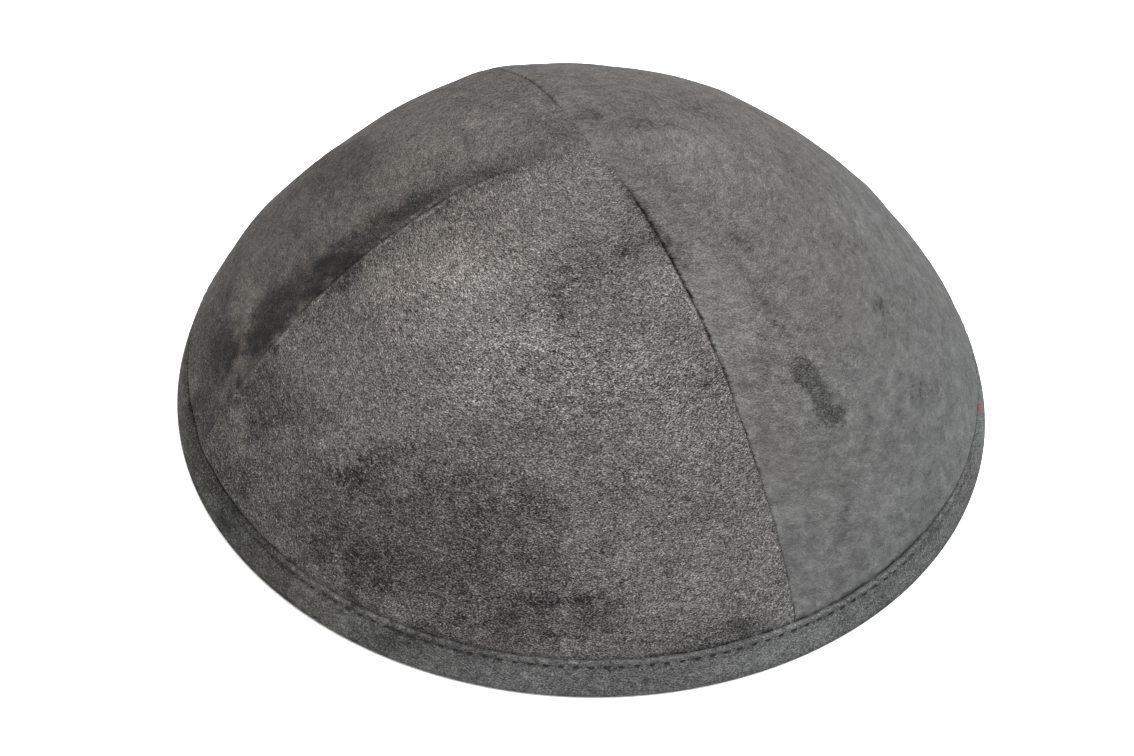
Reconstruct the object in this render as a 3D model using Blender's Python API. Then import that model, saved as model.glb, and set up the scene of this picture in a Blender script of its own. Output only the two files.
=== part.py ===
"""A skullcap of four sewn suede-cloth panels with a folded binding round its rim.

Lengths are in metres and angles in degrees. The cap rests on z = 0 with its axis on Z. An azimuth is
counted from -Y, the wearer's front here, towards +X. A place on the wall is given by its azimuth, the
height of the outer surface there and the depth below that surface.
"""

import math
from collections import namedtuple

import bmesh
import bpy
import numpy as np

# Form of the cap
RIM_RADIUS = 0.0900
CAP_HEIGHT = 0.0717
SHOULDER = 1.18
FULLNESS = 2.16

# Cloth of the crown and its seams
CLOTH = 0.0012
SEAM_GAP = 0.0003
SEAM_FOLD = 0.0018
SEAM_SINK = 0.0008
SEAM_ALLOWANCE = 0.0060

# Binding
BINDING_CLOTH = 0.0010
BINDING_HEIGHT = 0.0085
BINDING_FOLD = 0.0014
BINDING_LIP = 0.0004
INNER_LEG_HEIGHT = 0.0078
CLEARANCE = 0.0003
TUCK_RUN = 0.0140

# Soft dents and swellings of the cloth. They and the panels' flatness fade out towards the ends
DENT_DEPTH = 0.0015
APEX_CALM = 0.06
RIM_HOLD = 4

# A fold or a lip is never rounder than its own cloth allows
FOLD_LIMIT = 0.4
LIP_LIMIT = 0.5

# How finely the surfaces are divided
CROWN_ROWS = 18
BINDING_ROWS = 3
MIDDLE_COLUMNS = 12
ROW_GROWTH = 1.2
APEX_SHARE = 0.8
LENGTH_STEPS = 400
WALL_END = 1e-6
SHARP_ANGLE = 40.0

# Each seam runs from the apex to the rim at one azimuth
SEAMS = {"front_right": 32.2, "right_back": 123.9, "back_left": 206.9, "left_front": 291.4}

# A flatness of 1 would make a panel's level sections straight between its seams, and below 0 it swells
Panel = namedtuple("Panel", "node first_seam last_seam flatness colour")
PANELS = (
    Panel("panel_front", "left_front", "front_right", 0.00, (0.125, 0.118, 0.112)),
    Panel("panel_right", "front_right", "right_back", -0.07, (0.135, 0.138, 0.132)),
    Panel("panel_back", "right_back", "back_left", 0.10, (0.085, 0.080, 0.076)),
    Panel("panel_left", "back_left", "left_front", -0.10, (0.075, 0.070, 0.066)),
)
BINDING_COLOUR = (0.110, 0.108, 0.104)
SUEDE_ROUGHNESS = 0.92

# Across a seam, from its edge outwards. The first two columns are shares of SEAM_FOLD and
# SEAM_ALLOWANCE, the third of SEAM_SINK, and the last of a second layer of cloth on the inside
SeamStep = namedtuple("SeamStep", "fold allowance sink backing")
SEAM_STEPS = (
    SeamStep(fold=0.00, allowance=0.00, sink=1.00, backing=1.00),
    SeamStep(fold=0.30, allowance=0.00, sink=0.40, backing=1.00),
    SeamStep(fold=1.00, allowance=0.00, sink=0.00, backing=1.00),
    SeamStep(fold=0.00, allowance=0.88, sink=0.00, backing=1.00),
    SeamStep(fold=0.00, allowance=1.00, sink=0.00, backing=0.00),
)

# Soft forms of the worn cloth: azimuth and spread in degrees, rise and reach as shares of the wall's
# height, depth as a share of DENT_DEPTH and below 0 for a swelling
Dent = namedtuple("Dent", "azimuth spread rise reach depth")
DENTS = (
    Dent(azimuth=279.3, spread=8.0, rise=0.58, reach=0.30, depth=1.00),
    Dent(azimuth=232.4, spread=12.0, rise=0.46, reach=0.20, depth=0.73),
    Dent(azimuth=202.3, spread=10.0, rise=0.77, reach=0.20, depth=-0.80),
)


def clear_scene():
    for thing in list(bpy.data.objects):
        bpy.data.objects.remove(thing, do_unlink=True)


def eased(share):
    """A smooth step from 0 to 1."""
    share = np.clip(share, 0.0, 1.0)
    return share * share * (3.0 - 2.0 * share)


def rise_of(height):
    """A height of the wall as a share, 0 where the rim is widest and 1 at the apex."""
    return np.clip((height - BINDING_FOLD) / (CAP_HEIGHT - BINDING_FOLD), 0.0, 1.0)


def round_radius(rise):
    """Radius of the round cap, before its panels and dents."""
    return RIM_RADIUS * (1.0 - rise**SHOULDER) ** (1.0 / FULLNESS)


def height_at(radius):
    """Height of the round cap's wall at a radius: round_radius the other way round."""
    rise = (1.0 - (radius / RIM_RADIUS) ** FULLNESS) ** (1.0 / SHOULDER)
    return BINDING_FOLD + rise * (CAP_HEIGHT - BINDING_FOLD)


def crown_foot():
    """Height of the crown's raw edge, which stands on the binding's fold."""
    return BINDING_CLOTH + CLEARANCE


def seam_span(panel):
    """Azimuths of a panel's two seams, the second one the larger."""
    first = SEAMS[panel.first_seam]
    last = SEAMS[panel.last_seam]
    if first > last:
        first -= 360.0
    return first, last


def panel_share(panel, azimuth, rise):
    """How much a panel's flatness changes the radius. It is 1 at the seams and at the rim."""
    first, last = seam_span(panel)
    half = math.radians(last - first) / 2.0
    from_middle = np.radians(azimuth) - math.radians(first) - half
    straight = math.cos(half) / np.cos(from_middle)
    fade = 1.0 - (1.0 - rise) ** RIM_HOLD
    return 1.0 + panel.flatness * fade * (straight - 1.0)


def dent_depth(azimuth, rise):
    """How far the soft dents push the wall in. They fade out just below the apex."""
    depth = np.zeros(np.broadcast(azimuth, rise).shape)
    for dent in DENTS:
        turn = (azimuth - dent.azimuth + 180.0) % 360.0 - 180.0
        across = (turn / dent.spread) ** 2
        along = ((rise - dent.rise) / dent.reach) ** 2
        depth += dent.depth * DENT_DEPTH * np.exp(-across - along)
    return depth * eased((1.0 - rise) / APEX_CALM)


def inward(height):
    """The way into the wall as its radial and upright parts, level at the crown's raw edge."""
    rise = np.clip(rise_of(height), WALL_END, 1.0 - WALL_END)
    climb = CAP_HEIGHT - BINDING_FOLD
    narrowing = (1.0 - rise**SHOULDER) ** (1.0 / FULLNESS - 1.0) * rise ** (SHOULDER - 1.0)
    run = RIM_RADIUS * SHOULDER / FULLNESS * narrowing
    foot = crown_foot()
    tilt = run * eased((height - foot) / (BINDING_HEIGHT - foot))
    length = np.hypot(climb, tilt)
    return -climb / length, -tilt / length


def wall_points(panel, azimuth, height, depth):
    """Points at these azimuths, heights and depths, as an array whose last axis is x, y, z."""
    rise = rise_of(height)
    radial, upright = inward(height)
    total = depth + dent_depth(azimuth, rise)
    radius = round_radius(rise) * panel_share(panel, azimuth, rise) + radial * total
    turn = np.radians(azimuth)
    level = height + upright * total
    return np.stack(np.broadcast_arrays(radius * np.sin(turn), -radius * np.cos(turn), level), axis=-1)


def tuck(height):
    """Depth of the crown's outer surface. It goes in under the binding and eases out above it."""
    above = eased((height - BINDING_HEIGHT) / TUCK_RUN)
    return (BINDING_CLOTH + CLEARANCE) * (1.0 - above)


def tip_radius(panel):
    """Where the panel's two edges, each half a gap from its seam, meet beside the apex."""
    first, last = seam_span(panel)
    return SEAM_GAP / 2.0 / math.sin(math.radians(last - first) / 2.0)


def crown_heights(panel):
    """Heights of a panel's rows from its tip down to its raw edge, closer together near the tip."""
    top = height_at(tip_radius(panel))
    quarter = np.linspace(0.0, math.pi / 2.0, LENGTH_STEPS)
    fine = BINDING_HEIGHT + (top - BINDING_HEIGHT) * np.cos(quarter)
    steps = np.hypot(np.diff(fine), np.diff(round_radius(rise_of(fine))))
    along = np.concatenate([[0.0], np.cumsum(steps)])
    places = along[-1] * np.linspace(0.0, 1.0, CROWN_ROWS + 1) ** ROW_GROWTH
    below = np.linspace(BINDING_HEIGHT, crown_foot(), BINDING_ROWS + 1)[1:]
    return np.concatenate([np.interp(places, along, fine), below])


def panel_columns(panel, height):
    """Azimuths across a panel at one height, with the seam sink and the backing at each of them."""
    first, last = seam_span(panel)
    radius = float(round_radius(rise_of(height)))
    edge = math.degrees(math.asin(min(1.0, SEAM_GAP / 2.0 / radius)))
    half_width = max(0.0, radius * math.radians((last - first) / 2.0 - edge))
    places = [step.fold * SEAM_FOLD + step.allowance * SEAM_ALLOWANCE for step in SEAM_STEPS]
    scale = min(1.0, APEX_SHARE * half_width / places[-1])
    turns = [edge + math.degrees(scale * place / radius) for place in places]
    middle = np.linspace(first + turns[-1], last - turns[-1], MIDDLE_COLUMNS + 2)[1:-1]
    azimuth = [first + turn for turn in turns] + list(middle) + [last - turn for turn in reversed(turns)]
    sink = [scale * step.sink * SEAM_SINK for step in SEAM_STEPS]
    backing = [step.backing for step in SEAM_STEPS]
    bare = [0.0] * MIDDLE_COLUMNS
    return (
        np.array(azimuth),
        np.array(sink + bare + sink[::-1]),
        np.array(backing + bare + backing[::-1]),
    )


def crown_thickness(backing):
    return CLOTH * (1.0 + backing)


def panel_surfaces(panel):
    """The tips and the grids of points of a panel's outer and inner surface."""
    outer = []
    inner = []
    for height in crown_heights(panel):
        azimuth, sink, backing = panel_columns(panel, height)
        surface = tuck(height)
        outer.append(wall_points(panel, azimuth, height, surface + sink))
        inner.append(wall_points(panel, azimuth, height, surface + crown_thickness(backing)))
    return np.array(outer), np.array(inner)


def build_panel(panel):
    """One crown panel: two grids that start from one point beside the apex, joined round their edges."""
    outer, inner = panel_surfaces(panel)
    middle = outer.shape[1] // 2
    mesh = bmesh.new()
    layers = []
    for grid in (outer, inner):
        tip = mesh.verts.new(grid[0, middle])
        rows = [[mesh.verts.new(point) for point in row] for row in grid[1:]]
        for left, right in zip(rows[0], rows[0][1:]):
            mesh.faces.new((tip, left, right))
        for above, below in zip(rows, rows[1:]):
            for i in range(len(above) - 1):
                mesh.faces.new((above[i], below[i], below[i + 1], above[i + 1]))
        edges = [[tip] + [row[0] for row in rows], [tip] + [row[-1] for row in rows], rows[-1]]
        layers.append(edges)
    for outer_edge, inner_edge in zip(*layers):
        for i in range(len(outer_edge) - 1):
            mesh.faces.new((outer_edge[i], outer_edge[i + 1], inner_edge[i + 1], inner_edge[i]))
    return finish_object(panel.node, mesh, panel.colour)


def binding_section(thickness):
    """Heights and depths round the binding's section: up the outer leg, down into the channel that
    holds the crown, up the inner leg and back round the fold."""
    foot = BINDING_CLOTH
    channel = BINDING_CLOTH
    seat = channel + CLEARANCE + thickness + CLEARANCE
    back = seat + BINDING_CLOTH
    round_off = min(BINDING_FOLD, FOLD_LIMIT * back)
    lip = min(BINDING_LIP, LIP_LIMIT * BINDING_CLOTH)
    shallow = round_off * (1.0 - math.sqrt(0.5))
    middle = (BINDING_FOLD + BINDING_HEIGHT) / 2.0
    inner_middle = (BINDING_FOLD + INNER_LEG_HEIGHT) / 2.0
    return (
        (0.0, round_off),
        (shallow, shallow),
        (BINDING_FOLD, 0.0),
        (middle, 0.0),
        (BINDING_HEIGHT - lip, 0.0),
        (BINDING_HEIGHT, lip),
        (BINDING_HEIGHT, channel),
        (middle, channel),
        (foot, channel),
        (foot, seat),
        (inner_middle, seat),
        (INNER_LEG_HEIGHT, seat),
        (INNER_LEG_HEIGHT, back - lip),
        (INNER_LEG_HEIGHT - lip, back),
        (inner_middle, back),
        (BINDING_FOLD, back),
        (shallow, back - shallow),
        (0.0, back - round_off),
    )


def binding_stations():
    """The binding's section at every column of every panel, all the way round."""
    stations = []
    for panel in PANELS:
        backing = panel_columns(panel, BINDING_HEIGHT)[2]
        for column, layers in enumerate(backing):
            section = binding_section(crown_thickness(layers))
            points = []
            for height, depth in section:
                azimuth = panel_columns(panel, height)[0][column]
                points.append(wall_points(panel, azimuth, height, depth))
            stations.append(points)
    return stations


def build_binding():
    """The binding, one closed ring that wraps the crown's raw edge."""
    mesh = bmesh.new()
    rings = [[mesh.verts.new(point) for point in points] for points in binding_stations()]
    for here, there in zip(rings, rings[1:] + rings[:1]):
        count = len(here)
        for i in range(count):
            j = (i + 1) % count
            mesh.faces.new((here[i], here[j], there[j], there[i]))
    return finish_object("rim_binding", mesh, BINDING_COLOUR)


def suede(name, colour):
    """Matt suede cloth."""
    material = bpy.data.materials.new(name)
    material.use_nodes = True
    shader = material.node_tree.nodes["Principled BSDF"]
    shader.inputs["Base Color"].default_value = (*colour, 1.0)
    shader.inputs["Roughness"].default_value = SUEDE_ROUGHNESS
    shader.inputs["Metallic"].default_value = 0.0
    return material


def finish_object(name, mesh, colour):
    """Faces turned outwards, smooth shading and a material of its own."""
    bmesh.ops.recalc_face_normals(mesh, faces=mesh.faces)
    data = bpy.data.meshes.new(name)
    mesh.to_mesh(data)
    mesh.free()
    data.shade_smooth()
    data.set_sharp_from_angle(angle=math.radians(SHARP_ANGLE))
    data.materials.append(suede(name + "_suede", colour))
    made = bpy.data.objects.new(name, data)
    bpy.context.scene.collection.objects.link(made)
    return made


def main():
    clear_scene()
    cap = bpy.data.objects.new("kippah", None)
    bpy.context.scene.collection.objects.link(cap)
    for piece in [build_panel(panel) for panel in PANELS] + [build_binding()]:
        piece.parent = cap


main()
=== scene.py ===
"""Looks of a skullcap: four sewn panels of charcoal suede cloth and a folded, topstitched binding.

Lengths are in metres and angles in degrees. An azimuth is counted from -Y, the side nearest the camera,
towards +X. A place on the cap is an azimuth, the height of the outer wall there and a depth below it.
"""

import math
from collections import namedtuple
from functools import lru_cache

import bpy
import numpy as np
from mathutils import Matrix, Vector


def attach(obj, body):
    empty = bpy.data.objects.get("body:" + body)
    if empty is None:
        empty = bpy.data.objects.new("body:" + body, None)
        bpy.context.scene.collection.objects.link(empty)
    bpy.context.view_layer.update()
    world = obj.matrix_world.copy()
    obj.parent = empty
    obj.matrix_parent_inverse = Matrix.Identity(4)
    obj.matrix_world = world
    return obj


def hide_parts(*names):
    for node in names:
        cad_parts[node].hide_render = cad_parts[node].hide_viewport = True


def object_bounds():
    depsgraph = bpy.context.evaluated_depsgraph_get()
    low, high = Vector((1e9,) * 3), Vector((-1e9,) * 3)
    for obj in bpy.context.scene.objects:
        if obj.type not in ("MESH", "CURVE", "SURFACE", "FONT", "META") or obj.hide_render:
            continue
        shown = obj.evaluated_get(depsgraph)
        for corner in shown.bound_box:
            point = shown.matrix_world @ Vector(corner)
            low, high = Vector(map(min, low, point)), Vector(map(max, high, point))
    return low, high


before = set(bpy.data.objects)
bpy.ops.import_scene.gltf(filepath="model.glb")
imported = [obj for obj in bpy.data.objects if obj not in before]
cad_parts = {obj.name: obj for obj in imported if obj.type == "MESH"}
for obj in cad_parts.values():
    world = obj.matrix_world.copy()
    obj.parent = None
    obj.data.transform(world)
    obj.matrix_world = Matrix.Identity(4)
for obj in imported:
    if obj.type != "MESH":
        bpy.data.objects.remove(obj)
cad_low, cad_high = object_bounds()

# Form of the cap, as the frame has it
RIM_RADIUS = round(cad_high.y, 4)
CAP_HEIGHT = cad_high.z
SHOULDER = 1.18
FULLNESS = 2.16
RIM_HOLD = 4
APEX_CALM = 0.06
WALL_END = 1e-6

# Cloth of the crown and its seams
CLOTH = 0.0012
SEAM_SLIT = 0.00002
SEAM_FOLD = 0.0012
SEAM_SINK = 0.0007
SEAM_WOBBLE = 0.00014
SEAM_ALLOWANCE = 0.0060
ALLOWANCE_EDGE = 0.0006
WELT = 0.00020
WELT_RIDGE = 0.0035
WELT_CALM = 0.03
APEX_BLEND = 0.012
APEX_FADE = 0.035
UPPER_HALF = (0.50, 0.30)
TICK_PITCH = 0.0027
TICK_RADIUS = 0.00007
TICK_DEPTH = 0.00003
TICK_START = 0.012
TICK_END = 0.009
TICK_SHIFT = 0.0002
TICK_HALF = (0.00030, 0.00042)
TICK_LEAN = (0.00010, 0.00025)
TICK_STATIONS = 7
TICK_SEED = 73

# Binding, its nap, and the light and shade painted on it
BINDING_CLOTH = 0.0010
BINDING_HEIGHT = 0.0085
BINDING_FOLD = 0.0014
BINDING_LIP = 0.0005
INNER_LEG_HEIGHT = 0.0078
CLEARANCE = 0.0001
TUCK_RUN = 0.0024
SIDE_TIGHTNESS = 0.75
STITCHES = 176
STITCH_BELOW_LIP = 0.0012
STITCH_HEIGHT = BINDING_HEIGHT - STITCH_BELOW_LIP
STITCH_SINK = 0.00035
STITCH_SPREAD = 0.0005
CREASE = 0.00026
CREASE_WIDTH = 0.00042
CREASE_LEAN = 0.75
PUCKER = 0.00012
PUCKER_ABOVE = 0.0008
PUCKER_BELOW = 0.0009
PUCKER_SPREAD = 0.0006
LIP_PULL = 0.00007
THREAD_RADIUS = 0.00021
STITCH_START = 0.27
STITCH_SHORTEST = 0.36
STITCH_LONGEST = 0.50
STITCH_SHIFT = 0.05
STITCH_WANDER = 0.00006
STITCH_SLANT = 0.00016
STITCH_STATIONS = 11
STITCH_SEEDS = (71, 72)
BINDING_TONE = 0.475
BINDING_WARMTH = 0.42
BINDING_GRAIN = 0.62
# Painted highlight along the top of the lip, broken at the stitch creases
LIP_HIGHLIGHT = 0.10
LIP_HIGHLIGHT_BELOW = 0.0001
LIP_HIGHLIGHT_WIDTH = 0.0004
# Painted shade along the groove that the topstitching pulls in
STITCH_LINE_SHADE = 0.05
STITCH_LINE_SHADE_WIDTH = 0.0004
# Painted light on the binding's right side and painted shade on its left
RIGHT_PAINTED_LIGHT = 0.07
LEFT_PAINTED_SHADE = 0.03
FOLD_SHADE = 0.04
FOLD_SIDE_SHADE = 0.15
FOLD_SHADE_HEIGHT = 0.0030

# The turn from the front where the back of the cap starts, and how far it eases in
BACK = (100.0, 30.0)

# The same for the sides, where they start to the right, where to the left, and how far they ease in: where
# the crown sits tighter on the binding, the crown's painted contact shade and the binding's painted lip
# highlight and stitch-line shade fade, and the stitches are less proud
TIGHT_SIDES = (50.0, 40.0, 25.0)
SHADED_SIDES = (60.0, 32.0, 16.0)
PLAIN_SIDES = (62.0, 38.0, 18.0)
FLAT_SIDES = (40.0, 34.0, 20.0)

# The same for the binding's painted light on the right, its painted shade on the left and along its bottom
# fold
RIGHT_SIDE = (74.0, 10.0)
LEFT_SIDE = (30.0, 20.0)
FOLD_SIDES = (15.0, 30.0)

# How finely the surfaces are divided
PANEL_ROWS = 150
PANEL_COLUMNS = 240
SEAM_GATHER = 0.85
BINDING_STATIONS = STITCHES * 8
PROFILE_STEPS = 900
FIBRE_STATIONS = 13

# Each seam runs from the apex to the rim at one azimuth. Its groove and the painted shade in its groove are
# given near the rim and on the upper half. The welt is how proud the cloth stands beside it, and the wear
# how
# much lighter the nap is there: partly wear and partly a painted highlight on the raised edge.
Seam = namedtuple("Seam", "azimuth low_sink high_sink low_shade high_shade welt worn seed")
SEAMS = {
    "front_right": Seam(32.2, 0.35, 1.00, 0.16, 0.35, 1.0, 0.04, 81),
    "right_back": Seam(123.9, 0.50, 0.20, 0.14, 0.03, 1.0, 0.02, 82),
    "back_left": Seam(206.9, 0.50, 0.65, 0.12, 0.12, 1.0, 0.02, 83),
    "left_front": Seam(291.4, 0.08, 0.30, 0.00, 0.02, 1.6, 0.13, 84),
}

# Size of the suede's fibres on the face and the reverse
FACE_FIBRE = 0.00042
REVERSE_FIBRE = 0.0006

# Layers of noise in the suede and the thread: how far apart the bumps are, and their detail, stretch, turn
# in degrees and twist. The layers of the nap, which are its ground, curls, breaks, tufts, cracks and
# clumps, count that distance in fibres.
Layer = namedtuple("Layer", "length detail stretch turn twist", defaults=(1.0, 0.0, 0.0))
NAP_LAYERS = (
    Layer(1.0, 1.5, 1.7, 20.0, 0.6),
    Layer(2.6, 1.0, 1.5, -25.0, 1.4),
    Layer(1.5, 1.0),
    Layer(4.0, 2.0, 1.6, 10.0, 0.8),
    Layer(3.0, 1.0, 3.2, 6.0, 1.0),
    Layer(5.0, 3.0, 1.3, 0.0, 1.2),
)
MOTTLE = Layer(0.0034, 2.0)
CLOUDS = Layer(0.008, 3.0)
SEAM_RAGGED = Layer(0.0010, 2.0)
SEAM_BREAKS = Layer(0.0018, 2.0)
UNEVEN_DYE = Layer(0.0006, 2.0)

# How much of each layer goes into the suede's relief and tone, and the steps that sharpen some of them. The
# shares of the fine relief, the tufts and the mottling follow the grain, by a factor and a constant.
GROUND_SHARE = 1.05
STRAND_AND_GLINT_SHARE = 0.24
CRACK_SHARE = 0.11
TUFT_RELIEF = 0.42
CURL_SHARPNESS = 16.0
BREAK_STEP = (-0.05, 0.12)
CRACK_STEP = (0.0, 0.07)
CLUMP_SHARE = 1.7
CLUMP_STEP = (0.28, 0.62)
CLUMP_DARK = -0.11
CLOUD_SHARE = 0.14
SHARES_BY_GRAIN = ((1.25, 0.08), (0.29, 0.23), (-0.22, 0.32))
DARKEST = 0.05
GAMMA = 2.2
ROUGH_BY_RELIEF = (-0.35, 0.92)
SUEDE_BUMP = {"Distance": 0.0009, "Strength": 0.85}
SUEDE_SHINE = {
    "Specular IOR Level": 0.06,
    "Sheen Weight": 0.075,
    "Sheen Roughness": 0.55,
    "Sheen Tint": (0.42, 0.41, 0.40, 1.0),
}

# The two colours of each thread, and the length of one wind of its plies
Thread = namedtuple("Thread", "dark light pitch")
BLACK_THREAD = Thread((0.003, 0.003, 0.0035), (0.015, 0.015, 0.0165), 0.0005)
RED_FIBRE = Thread((0.16, 0.012, 0.028), (0.34, 0.05, 0.08), 0.0004)
PALE_FIBRE = Thread((0.15, 0.145, 0.14), (0.30, 0.295, 0.29), 0.0004)

# Colours that tint the nap's grey where it is cool, warm or browned
FACE_COOL = (0.955, 1.00, 1.01)
FACE_WARM = (1.00, 0.90, 0.90)
REVERSE_COOL = (0.97, 1.00, 1.00)
REVERSE_WARM = (1.00, 0.97, 0.95)
WHITE = (1.0, 1.0, 1.0)
BROWN = (1.0, 1.0, 0.88)
FACE_BRIGHTNESS = 0.26
REVERSE_BRIGHTNESS = 0.175

# The painted shade line in a seam's groove: how wide it is at the rim and on the upper half, in
# millimetres, and the rise where it starts to widen and how far it eases in
LINE_LOW = 0.20
LINE_HIGH = 0.33
LINE_RISE = (0.45, 0.35)
NO_SEAM = 9.0

# The lighter nap beside a seam, partly wear and partly a painted highlight on its raised edge: how far off
# it lies, its spread, and the rise where it starts and ends
WORN_HIGHLIGHT_OFF = 0.0009
WORN_HIGHLIGHT_SPREAD = 0.0006
WORN_HIGHLIGHT_RISE = (0.25, 0.2)
WORN_HIGHLIGHT_APEX = 0.1

# The nap of each panel, how far the foot of the panel looks like the foot of the front one, and how much
# lighter it is low on the back of the cap. A panel's tone is partly its nap and partly painted shade: the
# left panel is darker, as the side turned away from the light.
PANEL_TABLE = "piece node first_seam last_seam flatness tone warmth grain foot back"
Panel = namedtuple("Panel", PANEL_TABLE, defaults=(0.0, 0.0))
PANELS = (
    Panel("crown_front", "panel_front", "left_front", "front_right", 0.00, 0.52, 0.65, 1.00),
    Panel("crown_right", "panel_right", "front_right", "right_back", -0.07, 0.54, 0.45, 0.12),
    Panel("crown_back", "panel_back", "right_back", "back_left", 0.03, 0.53, 0.60, 0.12),
    Panel("crown_left", "panel_left", "back_left", "left_front", -0.10, 0.45, 0.80, 0.42, 1.0, 0.06),
)

# Where the foot starts as a share of the wall's height, how far it eases in, and its tone and grain
FOOT_RISE = 0.36
FOOT_RUN = 0.16
FOOT_SHADE = -0.04
FOOT_GRAIN = 0.8

# Where the lighter part of a panel low on the back starts, as an azimuth and a rise, and how it eases in
PALE_AZIMUTH = 242.0
PALE_AZIMUTH_RUN = 30.0
PALE_RISE = 0.70
PALE_RISE_RUN = 0.2

# How much of the missing grain comes back towards the apex, and where
APEX_GRAIN = 0.40
APEX_GRAIN_RISE = (0.60, 0.35)

# Painted contact shade on the crown along the binding: at the front, to the right of it, at the sides and
# at the back. Below 0 it is painted light, which lifts the shadow in the crease there.
CONTACT_SHADE_FRONT = -0.04
CONTACT_SHADE_RIGHT = 0.25
CONTACT_SHADE_SIDE = -0.16
CONTACT_SHADE_BACK = 0.10
CONTACT_SHADE_RIGHT_START = (-5.0, 30.0)
CONTACT_SHADE_RIGHT_END = (50.0, 14.0)
CONTACT_SHADE_ABOVE = 0.0002
CONTACT_SHADE_WIDTH = 0.0006

# Soft forms of the worn cloth: azimuth and spread in degrees, rise and reach as shares of the wall's
# height, depth in metres and below 0 for a swelling
Dent = namedtuple("Dent", "azimuth spread rise reach depth")
DENTS = (
    Dent(279.3, 8.0, 0.58, 0.30, 0.0015),
    Dent(232.4, 12.0, 0.46, 0.20, 0.0011),
    Dent(202.3, 10.0, 0.77, 0.20, -0.0007),
)

# Unevenness: the distance between bumps and their height. These are of the cloth, the edge of its seam
# allowances and the wander of its seams, then of its nap.
Ripple = namedtuple("Ripple", "length height seed")
CLOTH_RIPPLES = (Ripple(0.042, 0.00030, 3), Ripple(0.017, 0.00012, 5), Ripple(0.0065, 0.00004, 7))
ALLOWANCE_RIPPLES = (Ripple(0.004, 0.0004, 43),)
SEAM_RIPPLES = (Ripple(0.019, 1.0, 0), Ripple(0.006, 0.5, 10), Ripple(0.0022, 0.4, 20))
MARK_RIPPLES = (Ripple(0.011, 0.22, 21), Ripple(0.005, 0.18, 22))
TONE_RIPPLES = (Ripple(0.030, 0.014, 31), Ripple(0.010, 0.012, 32))
WARMTH_RIPPLES = (Ripple(0.035, 0.12, 33),)
CLUMP_RIPPLES = (Ripple(0.018, 0.12, 34),)
PATCH_RIPPLES = (Ripple(0.0035, 0.8, 45), Ripple(0.012, 0.4, 46))
REVERSE_RIPPLES = (Ripple(0.020, 0.02, 47),)

# The same along the rim, with the distance in degrees, and along a loose fibre as a share of its length
GATHER = Ripple(5.5, 0.00016, 41)
GATHER_REACH = 0.005
LIP_RIPPLES = (Ripple(4.3, 0.00012, 51),)
PUCKER_RIPPLES = (Ripple(7.0, 0.5, 52),)
CREASE_RIPPLES = (Ripple(5.0, 0.0003, 53),)
FIBRE_WAVE = (Ripple(0.7, 0.12, 0),)
FIBRE_LIFT = (Ripple(0.5, 1.2, 20),)
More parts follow.
